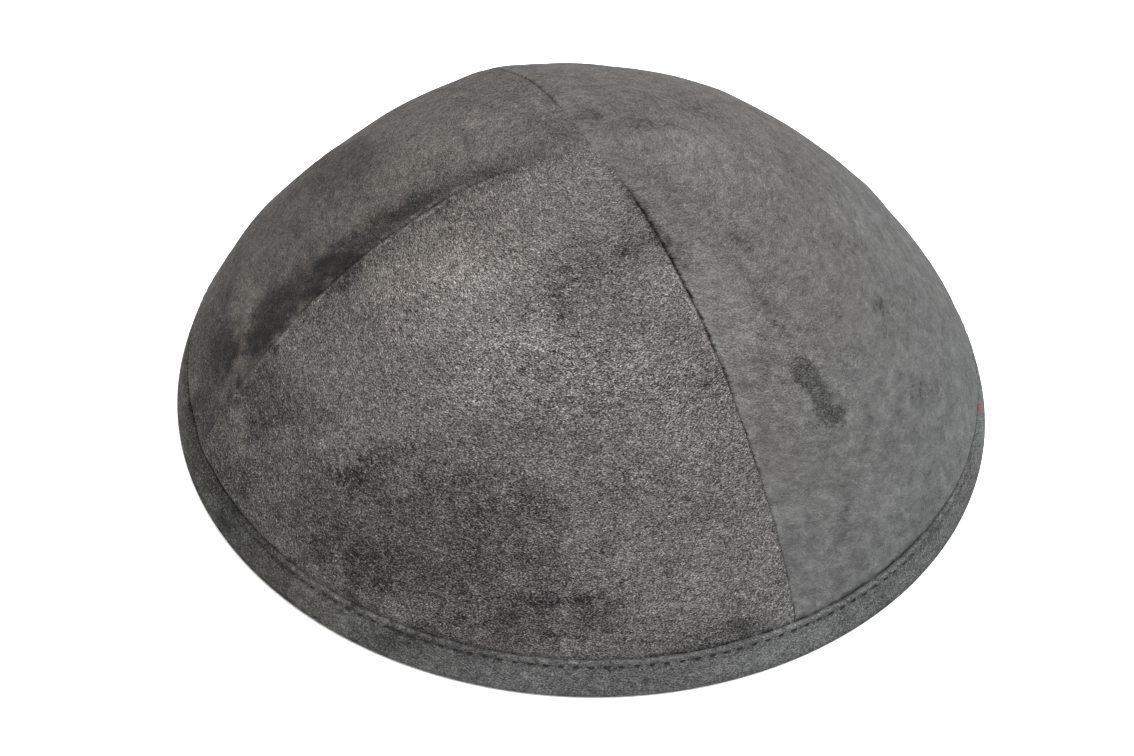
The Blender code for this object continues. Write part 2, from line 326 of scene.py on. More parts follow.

# Marks in the nap, noted row by row from the top of the photo. Some are painted shade: the dark ones in the
# dent beside the left-front seam and on the left side stand in for shade. The place and the half sizes are
# in its pixels and the turn in degrees, and then how much lighter the nap is (below 0 darker, partly
# painted shade), how far dark clumps cover it and how much coarser its grain is.
MARK_TABLE = "right down half_length half_width turn tone clumps grain"
Mark = namedtuple("Mark", MARK_TABLE, defaults=(0.0, 0.0))
NAP_AND_SHADE_MARKS = [Mark(*row) for row in (
    (525, 85, 36, 6, -38, 0.03), (538, 76, 26, 11, -20, -0.03, 0.3), (450, 110, 70, 22, 27, 0.03),
    (520, 125, 50, 24, 20, 0.06), (545, 120, 24, 10, -35, -0.03, 0.1), (585, 145, 26, 9, 10, 0.04),
    (588, 117, 20, 9, 0, -0.05, 0.4), (640, 125, 22, 9, 0, -0.03, 0.2),
    (652, 126, 32, 7, -5, -0.02, 0.4), (680, 150, 50, 24, -20, 0.03), (700, 150, 60, 24, -20, 0.035),
    (700, 108, 30, 9, -20, -0.02, 0.4), (335, 165, 50, 22, 30, -0.1, 0.2),
    (400, 170, 100, 28, 35, 0.05), (450, 192, 60, 14, 25, -0.1, 0.1), (520, 166, 40, 8, 18, -0.05),
    (560, 200, 55, 42, 0, 0.045), (800, 165, 26, 14, -50, -0.05, 0.2), (230, 268, 26, 12, 60, -0.05),
    (240, 235, 40, 14, 50, -0.05, 0.1), (275, 262, 26, 14, 50, 0.03), (308, 262, 30, 10, 50, -0.05),
    (365, 242, 62, 19, 37, -0.15, 0.3), (425, 215, 26, 8, 30, -0.04),
    (470, 268, 44, 26, 15, 0.055, 0, 0.1), (590, 262, 36, 20, 0, -0.04, 0.35, 0.1),
    (640, 246, 18, 14, 0, -0.05, 0.3), (650, 222, 44, 7, -57, -0.07, 0.5),
    (672, 255, 14, 12, 0, -0.05, 0.4), (690, 215, 40, 12, -50, -0.02, 0.2),
    (740, 238, 16, 9, -20, -0.02, 0.4), (845, 240, 22, 14, -40, -0.04, 0.4),
    (850, 225, 40, 20, -40, 0.02), (243, 315, 52, 9, 82, 0.09), (285, 305, 58, 21, 43, -0.19, 0.45),
    (300, 300, 30, 14, 45, 0.02), (340, 275, 40, 15, 42, -0.1, 0.2),
    (455, 290, 85, 58, 20, 0.075, 0, 0.2), (525, 318, 22, 10, -10, -0.01, 0.4, 0.1),
    (560, 300, 20, 30, 0, -0.03, 0.35, 0.1), (665, 290, 34, 22, 0, 0.035, 0, 0.1),
    (665, 272, 26, 16, -50, 0.05), (730, 300, 60, 24, -60, 0.05), (765, 302, 16, 10, 0, -0.03, 0.4),
    (880, 308, 10, 8, 0, -0.02, 0.4), (192, 385, 34, 9, 85, 0.04), (205, 350, 60, 26, 85, -0.16),
    (222, 352, 26, 12, 75, -0.06, 0.5), (240, 384, 9, 3.2, 80, -0.2, 0.6), (246, 342, 22, 7, 80, 0.11),
    (264, 345, 26, 12, 62, -0.1, 0.2), (340, 330, 40, 24, 30, -0.04), (400, 330, 30, 24, 0, -0.03),
    (470, 390, 34, 20, 0, 0.05, 0, 0.1), (525, 330, 20, 16, 0, 0.03),
    (535, 332, 34, 22, 0, 0.045, 0, 0.1), (560, 370, 110, 42, 0, 0.055, 0, 0.35),
    (690, 385, 24, 16, 0, -0.02, 0.4), (690, 345, 16, 36, 0, 0.03), (716, 350, 60, 9, -63, 0.05),
    (726, 380, 18, 7, -60, -0.03, 0.3), (790, 370, 75, 60, 0, 0, 0, 0.25),
    (800, 372, 14, 9, -50, -0.03, 0.5, 0.1), (925, 388, 20, 14, -20, -0.05, 0.4, 0.1),
    (258, 400, 26, 42, 0, -0.1), (280, 392, 44, 26, -35, -0.07), (310, 435, 42, 10, 15, 0.03),
    (520, 440, 70, 22, 0, -0.03), (560, 400, 30, 12, 0, -0.02, 0.4),
    (690, 430, 60, 40, -65, 0.03, 0, 0.1), (824, 402, 40, 13, -60, -0.05, 0.85, 0.2),
    (205, 450, 60, 24, -70, -0.16, 0, 0.3), (270, 480, 75, 60, -50, -0.085),
    (340, 505, 30, 20, -30, 0.05), (345, 478, 14, 9, 20, -0.03, 0.4, 0.1),
    (372, 466, 34, 18, 20, -0.03, 0.4, 0.1), (375, 450, 24, 12, 10, 0.04), (405, 455, 34, 18, 0, -0.06),
    (500, 495, 75, 26, -12, -0.07), (720, 510, 30, 14, 0, -0.01, 0.3),
    (340, 560, 50, 30, -20, -0.04, 0.2), (430, 550, 150, 70, -12, -0.13, 0.2),
    (600, 550, 40, 26, 0, 0.04), (640, 515, 42, 22, 0, -0.02, 0.2), (846, 520, 22, 6, 80, -0.04, 0.5),
    (895, 535, 8, 6, 0, -0.03, 0.4), (925, 520, 40, 16, 62, -0.05), (262, 570, 70, 14, -50, -0.07),
    (375, 598, 28, 16, -10, -0.03, 0.2), (390, 575, 44, 30, 0, -0.04), (535, 585, 40, 14, -5, 0.04),
    (560, 602, 62, 7, -3, -0.04, 0.4), (600, 600, 30, 10, 0, -0.02, 0.2),
    (650, 630, 70, 14, 3, -0.04, 0.3), (738, 624, 22, 12, 15, -0.04, 0.5), (790, 620, 70, 9, 24, 0.03),
    (485, 634, 125, 19, 6, -0.1), (660, 645, 90, 8, 4, -0.05), (730, 632, 44, 13, 12, -0.07),
    (780, 650, 80, 14, 22, 0.03),
)]

# How deep into the cap a mark reaches, and the step that its size is worked out with
MARK_DEPTH = 0.025
MARK_STEP = 0.0001

# The azimuths and rises where a mark's place is looked for
SEARCH_STEP = 0.25
SEARCH_ROWS = 700
SEARCH_TOP = 0.9995

# Nap of the cloth's reverse, which shows inside the cap
REVERSE_TONE = 0.52
REVERSE_WARMTH = 0.45
REVERSE_GRAIN = 0.35

# How the hue drifts over the whole cap, warmer at the apex and cooler on the right
WARM_APEX = 0.42
COOL_RIGHT = 0.22

# Loose fibres caught in the nap: azimuth and rise, length and thickness in millimetres, turn in degrees
Fibre = namedtuple("Fibre", "azimuth rise length thickness turn seed")
RED_FIBRES = (
    Fibre(84.6, 0.108, 2.6, 0.20, 20.0, 91),
    Fibre(85.6, 0.103, 1.9, 0.17, 75.0, 92),
    Fibre(84.0, 0.112, 1.7, 0.17, -40.0, 93),
    Fibre(85.0, 0.106, 1.5, 0.15, -75.0, 90),
)
PALE_FIBRES = (
    Fibre(34.6, 0.932, 2.2, 0.05, 50.0, 94),
    Fibre(350.0, 0.60, 1.4, 0.05, 10.0, 95),
    Fibre(316.0, 0.35, 1.6, 0.05, -60.0, 96),
    Fibre(70.0, 0.55, 1.8, 0.05, 30.0, 97),
    Fibre(160.0, 0.62, 2.0, 0.05, -20.0, 98),
    Fibre(221.0, 0.40, 1.5, 0.05, 80.0, 99),
)

# Camera, from the outline and the seams of the photo: distance from the rim's centre, elevation and roll,
# the field across the 1134 pixels, and how far that centre lies from the picture's middle
FRAME_PIXELS = 1134
FRAME_HEIGHT_PIXELS = 756
CAMERA_DISTANCE = 0.751
CAMERA_ELEVATION = 43.98
CAMERA_ROLL = 2.76
FOCAL_PIXELS = 3357.0
CENTRE_RIGHT_PIXELS = 14.9
CENTRE_DOWN_PIXELS = 15.7
SENSOR_WIDTH = 36.0

# Soft lights of the studio: azimuth, elevation, distance and size of each, and its power in watts
Light = namedtuple("Light", "name azimuth elevation distance size power")
LIGHTS = (
    Light("key", 55.0, 65.0, 1.7, 1.3, 54.0),
    Light("top", -20.0, 78.0, 1.6, 1.2, 14.0),
)
WORLD_STRENGTH = 1.36
FLOOR_SIZE = 3.0
FLOOR_LOOK = {"Base Color": (0.93, 0.93, 0.93, 1.0), "Roughness": 0.9}


def eased(share):
    """A smooth step from 0 to 1."""
    share = np.clip(share, 0.0, 1.0)
    return share * share * (3.0 - 2.0 * share)


def ramp(value, start, run):
    """A smooth step from 0 at the start to 1 where the run ends."""
    return eased((value - start) / run)


def bell(off, width):
    """1 where off is 0, and less on both sides."""
    return np.exp(-((off / width) ** 2))


def vectors(x, y, z):
    """An array whose last axis is x, y, z."""
    return np.stack(np.broadcast_arrays(x, y, z), axis=-1)


def rise_of(height):
    """A height of the wall as a share, 0 where the rim is widest and 1 at the apex."""
    return np.clip((height - BINDING_FOLD) / (CAP_HEIGHT - BINDING_FOLD), 0.0, 1.0)


def height_of(rise):
    """The height at a share of the wall."""
    return BINDING_FOLD + rise * (CAP_HEIGHT - BINDING_FOLD)


def round_radius(rise):
    """Radius of the round cap, before its panels and dents."""
    return RIM_RADIUS * (1.0 - rise**SHOULDER) ** (1.0 / FULLNESS)


def seam_span(panel):
    """Azimuths of a panel's two seams, the second one the larger."""
    first = SEAMS[panel.first_seam].azimuth
    last = SEAMS[panel.last_seam].azimuth
    if first > last:
        first -= 360.0
    return first, last


def turn_between(azimuth, other):
    """Signed turn from one azimuth to another, the short way round."""
    return (azimuth - other + 180.0) % 360.0 - 180.0


def flat_share(azimuth, rise):
    """How much the panels' flatness changes the radius. It is 1 at the seams and at the rim."""
    azimuth, rise = np.broadcast_arrays(azimuth, rise)
    share = np.ones(azimuth.shape)
    fade = 1.0 - (1.0 - rise) ** RIM_HOLD
    for panel in PANELS:
        first, last = seam_span(panel)
        half = (last - first) / 2.0
        off = turn_between(azimuth, (first + last) / 2.0)
        straight = math.cos(math.radians(half)) / np.cos(np.radians(np.clip(off, -half, half)))
        share = np.where(np.abs(off) <= half, 1.0 + panel.flatness * fade * (straight - 1.0), share)
    return share


def dent_depth(azimuth, rise):
    """How far the soft dents push the wall in. They fade out just below the apex."""
    depth = np.zeros(np.broadcast(azimuth, rise).shape)
    for dent in DENTS:
        across = (turn_between(azimuth, dent.azimuth) / dent.spread) ** 2
        along = ((rise - dent.rise) / dent.reach) ** 2
        depth = depth + dent.depth * np.exp(-across - along)
    return depth * eased((1.0 - rise) / APEX_CALM)


def inward(height):
    """The way into the wall as its radial and upright parts, level at the crown's raw edge."""
    rise = np.clip(rise_of(height), WALL_END, 1.0 - WALL_END)
    climb = CAP_HEIGHT - BINDING_FOLD
    narrowing = (1.0 - rise**SHOULDER) ** (1.0 / FULLNESS - 1.0) * rise ** (SHOULDER - 1.0)
    run = RIM_RADIUS * SHOULDER / FULLNESS * narrowing
    foot = BINDING_CLOTH + CLEARANCE
    tilt = run * eased((height - foot) / (BINDING_HEIGHT - foot))
    length = np.hypot(climb, tilt)
    return -climb / length, -tilt / length


def wall(azimuth, height, depth):
    """Points at these azimuths, heights and depths."""
    rise = rise_of(height)
    radial, upright = inward(height)
    total = depth + dent_depth(azimuth, rise)
    radius = round_radius(rise) * flat_share(azimuth, rise) + radial * total
    turn = np.radians(azimuth)
    return vectors(radius * np.sin(turn), -radius * np.cos(turn), height + upright * total)


def ripple(points, length, seed, waves=14):
    """Smooth unevenness with bumps about this far apart, mostly between -1 and 1."""
    source = np.random.default_rng(seed)
    ways = source.normal(size=(waves, 3))
    ways /= np.linalg.norm(ways, axis=1)[:, None]
    ways *= 2.0 * math.pi / length * source.uniform(0.7, 1.4, size=(waves, 1))
    phases = source.uniform(0.0, 2.0 * math.pi, size=waves)
    return np.cos(points @ ways.T + phases).sum(axis=-1) / math.sqrt(waves / 2.0) / 2.0


def ripples(points, layers, start=0.0, seed=0):
    """The sum of some layers of unevenness at these points."""
    return sum((r.height * ripple(points, r.length, r.seed + seed) for r in layers), start)


def on_line(places):
    """Points along a line, for unevenness along it."""
    return vectors(places, 0.0, 0.0)


def unevenness(points):
    """Depth of the worn cloth's bumps at these points, below 0 where it swells."""
    return -ripples(points, CLOTH_RIPPLES)


def seam_line(name, height):
    """Azimuth of a seam at each height. It wanders a little, as a sewn line does."""
    seam = SEAMS[name]
    radius = np.maximum(round_radius(rise_of(height)), 0.004)
    wander = SEAM_WOBBLE * ripples(on_line(height), SEAM_RIPPLES, seed=seam.seed)
    return seam.azimuth + np.degrees(wander / radius) * eased((CAP_HEIGHT - height) / APEX_BLEND)


def between(low, high, height):
    """A seam's value at each height, low at the rim and high on the upper half. It fades at the apex."""
    rise = rise_of(height)
    return (low + (high - low) * ramp(rise, *UPPER_HALF)) * eased((1.0 - rise) / APEX_FADE)


def behind(azimuth):
    """1 round the back of the cap, 0 at its front and sides."""
    return ramp(np.abs(turn_between(azimuth, 0.0)), *BACK)


def beside(azimuth, sides):
    """1 at the sides of the cap, where these start, 0 at its front and back."""
    turned = turn_between(azimuth, 0.0)
    right_start, left_start, run = sides
    side = ramp(turned, right_start, run) + ramp(-turned, left_start, run)
    return side * (1.0 - behind(azimuth))


def tuck(azimuth, height):
    """Depth of the crown's outer surface. It goes in under the binding and eases out above it."""
    run = TUCK_RUN * (1.0 - SIDE_TIGHTNESS * beside(azimuth, TIGHT_SIDES))
    above = np.clip((height - BINDING_HEIGHT) / run, 0.0, 1.0)
    return (BINDING_CLOTH + CLEARANCE) * (1.0 - np.sin(math.pi / 2.0 * above))


def seam_relief(seam, distance, height):
    """The cloth rolls into the seam, and stands a little proud over the seam allowance beside it."""
    radius = round_radius(rise_of(height))
    fold = np.minimum(SEAM_FOLD, 0.35 * np.maximum(radius, 1e-4))
    near = np.clip(1.0 - distance / fold, 0.0, 1.0)
    sink = SEAM_SINK * between(seam.low_sink, seam.high_sink, height)
    roll = sink * (1.0 - np.sqrt(1.0 - near**2)) * fold / SEAM_FOLD
    edge = eased((SEAM_ALLOWANCE + ALLOWANCE_EDGE - distance) / (4.0 * ALLOWANCE_EDGE))
    ridge = bell(distance, WELT_RIDGE)
    return roll - WELT * seam.welt * (0.5 * edge + 0.9 * ridge) * eased(radius / WELT_CALM)


def add_object(name, data):
    """A new object of this data, in the scene."""
    made = bpy.data.objects.new(name, data)
    bpy.context.scene.collection.objects.link(made)
    return made


def make_mesh(name, points, faces, slots=None, sharp=50.0):
    """A mesh object from an array of points and a list of faces, with smooth shading."""
    data = bpy.data.meshes.new(name)
    data.from_pydata([tuple(p) for p in points], [], faces)
    data.shade_smooth()
    data.set_sharp_from_angle(angle=math.radians(sharp))
    if slots is not None:
        data.polygons.foreach_set("material_index", slots)
    data.update()
    return add_object(name, data)


def add_vectors(piece, name, values):
    """A vector for each point, which the piece's material reads by this name."""
    held = piece.data.attributes.new(name, "FLOAT_VECTOR", "POINT")
    held.data.foreach_set("vector", np.asarray(values, np.float32).ravel())


def photo_view():
    """Where the photo was taken from, and the ways right, up and back in its picture."""
    elevation = math.radians(CAMERA_ELEVATION)
    roll = math.radians(CAMERA_ROLL)
    back = np.array([0.0, -math.cos(elevation), math.sin(elevation)])
    right = np.array([1.0, 0.0, 0.0])
    up = np.cross(back, right)
    rolled_right = math.cos(roll) * right + math.sin(roll) * up
    rolled_up = math.cos(roll) * up - math.sin(roll) * right
    place = back * CAMERA_DISTANCE
    per_pixel = CAMERA_DISTANCE / FOCAL_PIXELS
    aim = (rolled_up * CENTRE_DOWN_PIXELS - rolled_right * CENTRE_RIGHT_PIXELS) * per_pixel
    look = (place - aim) / np.linalg.norm(place - aim)
    side = np.cross(rolled_up, look)
    side /= np.linalg.norm(side)
    return place, side, np.cross(look, side), look


def in_photo(points):
    """Where points show in the photo, in pixels to the right and down."""
    place, right, up, back = photo_view()
    off = points - place
    scale = -FOCAL_PIXELS / (off @ back)
    return FRAME_PIXELS / 2.0 + scale * (off @ right), FRAME_HEIGHT_PIXELS / 2.0 - scale * (off @ up)


def ways_at(azimuth, height):
    """The ways round the cap, up its wall and out of it."""
    turn = np.radians(azimuth)
    radial, upright = inward(height)
    round_way = vectors(np.cos(turn), np.sin(turn), 0.0 * upright)
    out_way = vectors(-radial * np.sin(turn), radial * np.cos(turn), -upright)
    return round_way, np.cross(out_way, round_way), out_way


@lru_cache
def marked_places():
    """Each mark with the azimuth and the height where the photo shows it on the cap."""
    turns = np.arange(-180.0, 180.0, SEARCH_STEP)
    azimuth, rise = np.meshgrid(turns, np.linspace(0.0, SEARCH_TOP, SEARCH_ROWS))
    height = height_of(rise)
    points = wall(azimuth, height, 0.0)
    facing = np.sum(ways_at(azimuth, height)[2] * (photo_view()[0] - points), axis=-1) > 0.0
    azimuth, height = azimuth[facing], height[facing]
    right, down = in_photo(points[facing])
    places = []
    for mark in NAP_AND_SHADE_MARKS:
        nearest = np.argmin((right - mark.right) ** 2 + (down - mark.down) ** 2)
        places.append((mark, azimuth[nearest], height[nearest]))
    return places


def mark_weight(mark, azimuth, height, points, ragged):
    """How much a mark covers each point, from 0 to 1."""
    centre = wall(azimuth, height, 0.0)
    round_way, up_way, out_way = ways_at(azimuth, height)
    steps = np.stack([centre, centre + MARK_STEP * round_way, centre + MARK_STEP * up_way])
    right, down = in_photo(steps)
    off = points - centre
    level = off @ round_way / MARK_STEP
    steep = off @ up_way / MARK_STEP
    across = level * (right[1] - right[0]) + steep * (right[2] - right[0])
    upward = level * (down[0] - down[1]) + steep * (down[0] - down[2])
    turn = math.radians(mark.turn)
    along = (math.cos(turn) * across + math.sin(turn) * upward) / mark.half_length
    aside = (math.cos(turn) * upward - math.sin(turn) * across) / mark.half_width
    size = np.sqrt(along**2 + aside**2 + (off @ out_way / MARK_DEPTH) ** 2)
    return eased((1.55 - size - ragged) / 1.1)


def nap_values(points, tone, warmth, grain):
    """Tone, warmth and grain of the nap at each point, and how far dark clumps cover it. The tone holds
    painted shade.
    """
    tone = tone + np.zeros(points.shape[:-1])
    grain = grain + 0.0 * tone
    clumps = 0.0 * tone
    ragged = ripples(points, MARK_RIPPLES)
    for mark, azimuth, height in marked_places():
        weight = mark_weight(mark, azimuth, height, points, ragged)
        tone += mark.tone * weight
        grain += mark.grain * weight
        clumps += mark.clumps * weight
    tone += ripples(points, TONE_RIPPLES)
    clumps += ripples(points, CLUMP_RIPPLES) - 0.05
    warmth = warmth + ripples(points, WARMTH_RIPPLES)
    warmth += WARM_APEX * (points[..., 2] / CAP_HEIGHT - 0.5) - COOL_RIGHT * points[..., 0] / RIM_RADIUS
    return tone, warmth, grain, clumps


def yellowing(points):
    """How far the nap turns from pink to brown, most on the left and round the apex."""
    left = np.clip(1.4 * (-points[..., 0] / RIM_RADIUS - 0.25), 0.0, 1.0)
    top = np.clip(1.6 * (points[..., 2] / CAP_HEIGHT - 0.62), 0.0, 0.45)
    return np.clip(0.12 + left + top, 0.0, 1.0)


def add_nap(piece, points, naps, seam):
    """Writes what the suede reads, for one or more layers of points: the nap values with their painted
    light and shade, the clumps and the brown of the nap, and the seam lines with their painted shade."""
    rows = {"nap": [], "wear": [], "seam": []}
    flat = 0.0 * points[..., 0]
    for tone, warmth, grain, clumps in naps:
        layer = {"nap": (tone, warmth, grain), "wear": (clumps, yellowing(points), 0.0), "seam": seam}
        for name, values in layer.items():
            rows[name].append(np.stack([value + flat for value in values], axis=-1).reshape(-1, 3))
    for name, layers in rows.items():
        add_vectors(piece, name, np.concatenate(layers))


def wall_lengths(heights):
    """Distance along the wall from the first of these heights to each one."""
    steps = np.hypot(np.diff(heights), np.diff(round_radius(rise_of(heights))))
    return np.concatenate([[0.0], np.cumsum(steps)])


def panel_heights():
    """Heights of a panel's rows, evenly spaced along the wall from the apex to the raw edge."""
    heights = height_of(np.cos(np.linspace(0.0002, math.pi / 2.0, PROFILE_STEPS)) ** (2.0 / SHOULDER))
    foot = BINDING_CLOTH + CLEARANCE
    heights = np.append(heights[heights > foot], foot)
    along = wall_lengths(heights)
    return np.interp(np.linspace(0.0, along[-1], PANEL_ROWS), along, heights)


def grid_faces(index):
    """Quads between the rows and columns of a grid of point numbers."""
    corners = [index[:-1, :-1], index[1:, :-1], index[1:, 1:], index[:-1, 1:]]
    return np.stack(corners, axis=-1).reshape(-1, 4)


def side_faces(line, other):
    """Quads that join one edge of the outer surface to the same edge of the inner one."""
    return np.stack([line[1:], line[:-1], other[:-1], other[1:]], axis=-1)


def build_panel(panel):
    """One crown panel, an outer and an inner surface joined at the edges."""
    height = panel_heights()[:, None]
    first_line = seam_line(panel.first_seam, height)
    last_line = seam_line(panel.last_seam, height)
    last_line += 360.0 * (last_line < first_line)
    even = np.linspace(0.0, 1.0, PANEL_COLUMNS)
    shares = even - SEAM_GATHER * np.sin(2.0 * math.pi * even) / (2.0 * math.pi)
    radius = round_radius(rise_of(height))
    slit = SEAM_SLIT * (0.15 + 0.85 * eased((CAP_HEIGHT - height) / APEX_BLEND))
    span = np.radians(last_line - first_line)
    slit = np.degrees(np.minimum(slit / np.maximum(radius, 1e-6), 0.45 * span))
    azimuth = first_line + slit + shares[None, :] * (last_line - first_line - 2.0 * slit)
    height = np.broadcast_to(height, azimuth.shape)
    rise = rise_of(height)
    first_distance = np.radians(azimuth - first_line) * radius
    last_distance = np.radians(last_line - azimuth) * radius
    distance = np.minimum(first_distance, last_distance)
    plain = wall(azimuth, height, 0.0)

    uneven = unevenness(plain)
    surface = tuck(azimuth, height) + uneven * eased((height - BINDING_HEIGHT) / 0.006)
    above = (height - BINDING_HEIGHT) / GATHER_REACH
    gathers = ripple(on_line(azimuth), GATHER.length, GATHER.seed) * bell(above, 1.0) * eased(above * 4.0)
    relief = seam_relief(SEAMS[panel.first_seam], first_distance, height)
    relief += seam_relief(SEAMS[panel.last_seam], last_distance, height)
    outer = wall(azimuth, height, surface + relief - GATHER.height * gathers)
    ragged = ripples(plain, ALLOWANCE_RIPPLES)
    backing = eased((SEAM_ALLOWANCE + ragged - distance) / ALLOWANCE_EDGE + 0.5)
    inner = wall(azimuth, height, surface + CLOTH * (1.0 + backing))

    index = np.arange(azimuth.size).reshape(azimuth.shape)
    other = index + azimuth.size
    front = grid_faces(index)
    back = grid_faces(other)[:, ::-1]
    edges = (
        side_faces(index[-1, ::-1], other[-1, ::-1]),
        side_faces(index[0], other[0]),
        side_faces(index[::-1, 0], other[::-1, 0]),
        side_faces(index[:, -1], other[:, -1]),
    )
    sides = np.concatenate(edges)
    faces = np.concatenate([front, back, sides])
    slots = np.concatenate([np.zeros(len(front)), np.ones(len(back) + len(sides))]).astype(np.int32)
    piece = make_mesh(panel.piece, np.concatenate([outer, inner]).reshape(-1, 3), faces.tolist(), slots)

    along = np.interp(-height, -panel_heights(), wall_lengths(panel_heights()))
    across = radius * np.radians(azimuth - (first_line + last_line) / 2.0)
    places = vectors(across, -along, 0.0).reshape(-1, 3)
    add_vectors(piece, "cloth", np.concatenate([places, places]))
    foot = panel.foot * eased((FOOT_RISE - rise) / FOOT_RUN)
    tone = panel.tone + foot * (PANELS[0].tone + FOOT_SHADE - panel.tone)
    low_back = eased(turn_between(PALE_AZIMUTH, azimuth) / PALE_AZIMUTH_RUN)
    tone = tone + panel.back * low_back * eased((PALE_RISE - rise) / PALE_RISE_RUN)
    warmth = panel.warmth + foot * (PANELS[0].warmth - panel.warmth)
    grain = panel.grain + foot * (FOOT_GRAIN - panel.grain)
    tone, warmth, grain, clumps = nap_values(plain, tone, warmth, grain)
    patchy = np.clip(ripples(plain, PATCH_RIPPLES, start=0.85), 0.15, 1.8)
    # Painted shade along each seam line, standing in for the shadow in its groove
    dark = 0.0
    for name, away in ((panel.first_seam, first_distance), (panel.last_seam, last_distance)):
        seam = SEAMS[name]
        dark = np.where(away <= distance, between(seam.low_shade, seam.high_shade, height) * patchy, dark)
        # Lighter nap beside the seam: partly wear, partly a painted highlight on the raised edge
        worn = bell(away - WORN_HIGHLIGHT_OFF, WORN_HIGHLIGHT_SPREAD) * ramp(rise, *WORN_HIGHLIGHT_RISE)
        tone += seam.worn * worn * patchy * eased((1.0 - rise) / WORN_HIGHLIGHT_APEX)
    width = LINE_LOW + (LINE_HIGH - LINE_LOW) * ramp(rise, *LINE_RISE)
    turned = turn_between(azimuth, 0.0)
    # Painted contact shade on the crown along the binding, and painted light where it is below 0
    right = ramp(turned, *CONTACT_SHADE_RIGHT_START) * (1.0 - ramp(turned, *CONTACT_SHADE_RIGHT_END))
    contact_shade = CONTACT_SHADE_FRONT + CONTACT_SHADE_RIGHT * right
    contact_shade += CONTACT_SHADE_SIDE * beside(azimuth, SHADED_SIDES) + CONTACT_SHADE_BACK * behind(azimuth)
    tone -= contact_shade * patchy * bell(height - BINDING_HEIGHT - CONTACT_SHADE_ABOVE, CONTACT_SHADE_WIDTH)
    grain += APEX_GRAIN * ramp(rise, *APEX_GRAIN_RISE) * (1.0 - panel.grain)
    reverse = (REVERSE_TONE + ripples(plain, REVERSE_RIPPLES), REVERSE_WARMTH, REVERSE_GRAIN, 0.0)
    add_nap(piece, plain, ((tone, warmth, grain, clumps), reverse), (1000.0 * distance, dark, width))
    return piece


def backing_round(azimuth):
    """How much of a second layer of crown cloth the binding wraps at each azimuth."""
    doubled = np.zeros(azimuth.shape)
    for seam in SEAMS.values():
        distance = RIM_RADIUS * np.radians(np.abs(turn_between(azimuth, seam.azimuth)))
        doubled = np.maximum(doubled, eased((SEAM_ALLOWANCE + 0.0015 - distance) / 0.003))
    return doubled


def inner_face(azimuth):
    """Depth of the inner leg's face that shows inside the cap."""
    return 2.0 * BINDING_CLOTH + 2.0 * CLEARANCE + CLOTH * (1.0 + backing_round(azimuth))


def stitch_crease(azimuth, height):
    """The creases that slant from each needle hole over the lip, 1 in a crease and 0 between two."""
    pitch = 2.0 * math.pi * RIM_RADIUS / STITCHES
    turned = turn_between(azimuth, 0.0)
    place = RIM_RADIUS * np.radians(turned) + CREASE_LEAN * (height - STITCH_HEIGHT)
    place = place + ripples(on_line(turned + 0.0 * height), CREASE_RIPPLES)
    off = (place / pitch + 0.5) % 1.0 - 0.5
    return bell(off * pitch, CREASE_WIDTH)


def binding_relief(azimuth, height):
    """The topstitching pulls a leg in along its line, most at each needle hole, and puckers it above."""
    crease = stitch_crease(azimuth, height)
    line = bell(height - STITCH_HEIGHT, STITCH_SPREAD)
    over = bell(height - STITCH_HEIGHT - PUCKER_ABOVE, PUCKER_SPREAD)
    under = bell(height - STITCH_HEIGHT + PUCKER_BELOW, PUCKER_SPREAD)
    turned = turn_between(azimuth, 0.0)
    uneven = ripples(on_line(turned + 0.0 * height), PUCKER_RIPPLES, start=0.85)
    pull = STITCH_SINK * line * (0.5 + 0.5 * crease)
    return pull + uneven * (CREASE * crease - PUCKER) * (over + 0.25 * under)


def corner(angles, level, up, face, into, shape):
    """Rows of a rounded corner: how far it goes up from a level and into the cloth from a face."""
    for angle in np.radians(angles):
        yield level + up * (1.0 - math.sin(angle)), face + into * (1.0 - math.cos(angle)), shape


def binding_rows(azimuth):
    """The binding's section at each azimuth, as rows of height, depth and how the stitching shapes them,
    from the bottom fold up the outer leg, down the channel, over the inner leg and back to the fold."""
    back = inner_face(azimuth)
    seat = back - BINDING_CLOTH
    wavy = ripples(on_line(azimuth), LIP_RIPPLES) - LIP_PULL * stitch_crease(azimuth, BINDING_HEIGHT)
    top = BINDING_HEIGHT + wavy
    inner_top = INNER_LEG_HEIGHT + wavy
    fold = BINDING_FOLD
    rows = list(corner(np.linspace(90.0, 12.0, 7), 0.0, fold, 0.0, fold, 0.0))
    for share in np.linspace(0.0, 1.0, 24):
        rows.append((fold + share * (top - BINDING_LIP - fold), 0.0, 1.0))
    rows.extend(corner((25.0, 50.0, 75.0, 90.0), top, -BINDING_LIP, 0.0, BINDING_LIP, 1.0))
    rows.append((top, BINDING_CLOTH + 0.8 * CLEARANCE, 0.0))
    rows.append((top - 0.0006, BINDING_CLOTH, 0.0))
    rows.append((BINDING_CLOTH, BINDING_CLOTH, 0.0))
    rows.append((BINDING_CLOTH, seat, 0.0))
    rows.append((inner_top, seat, 0.0))
    rows.extend(corner((90.0, 55.0, 20.0), inner_top, -BINDING_LIP, back, -BINDING_LIP, 0.0))
    for share in np.linspace(0.94, 0.0, 16):
        rows.append((fold + share * (INNER_LEG_HEIGHT - BINDING_LIP - fold), back, -1.0))
    rows.extend(corner(np.linspace(12.0, 90.0, 6), 0.0, fold, back, -fold, 0.0))
    return np.stack([np.stack(np.broadcast_arrays(*row, azimuth))[:3] for row in rows])


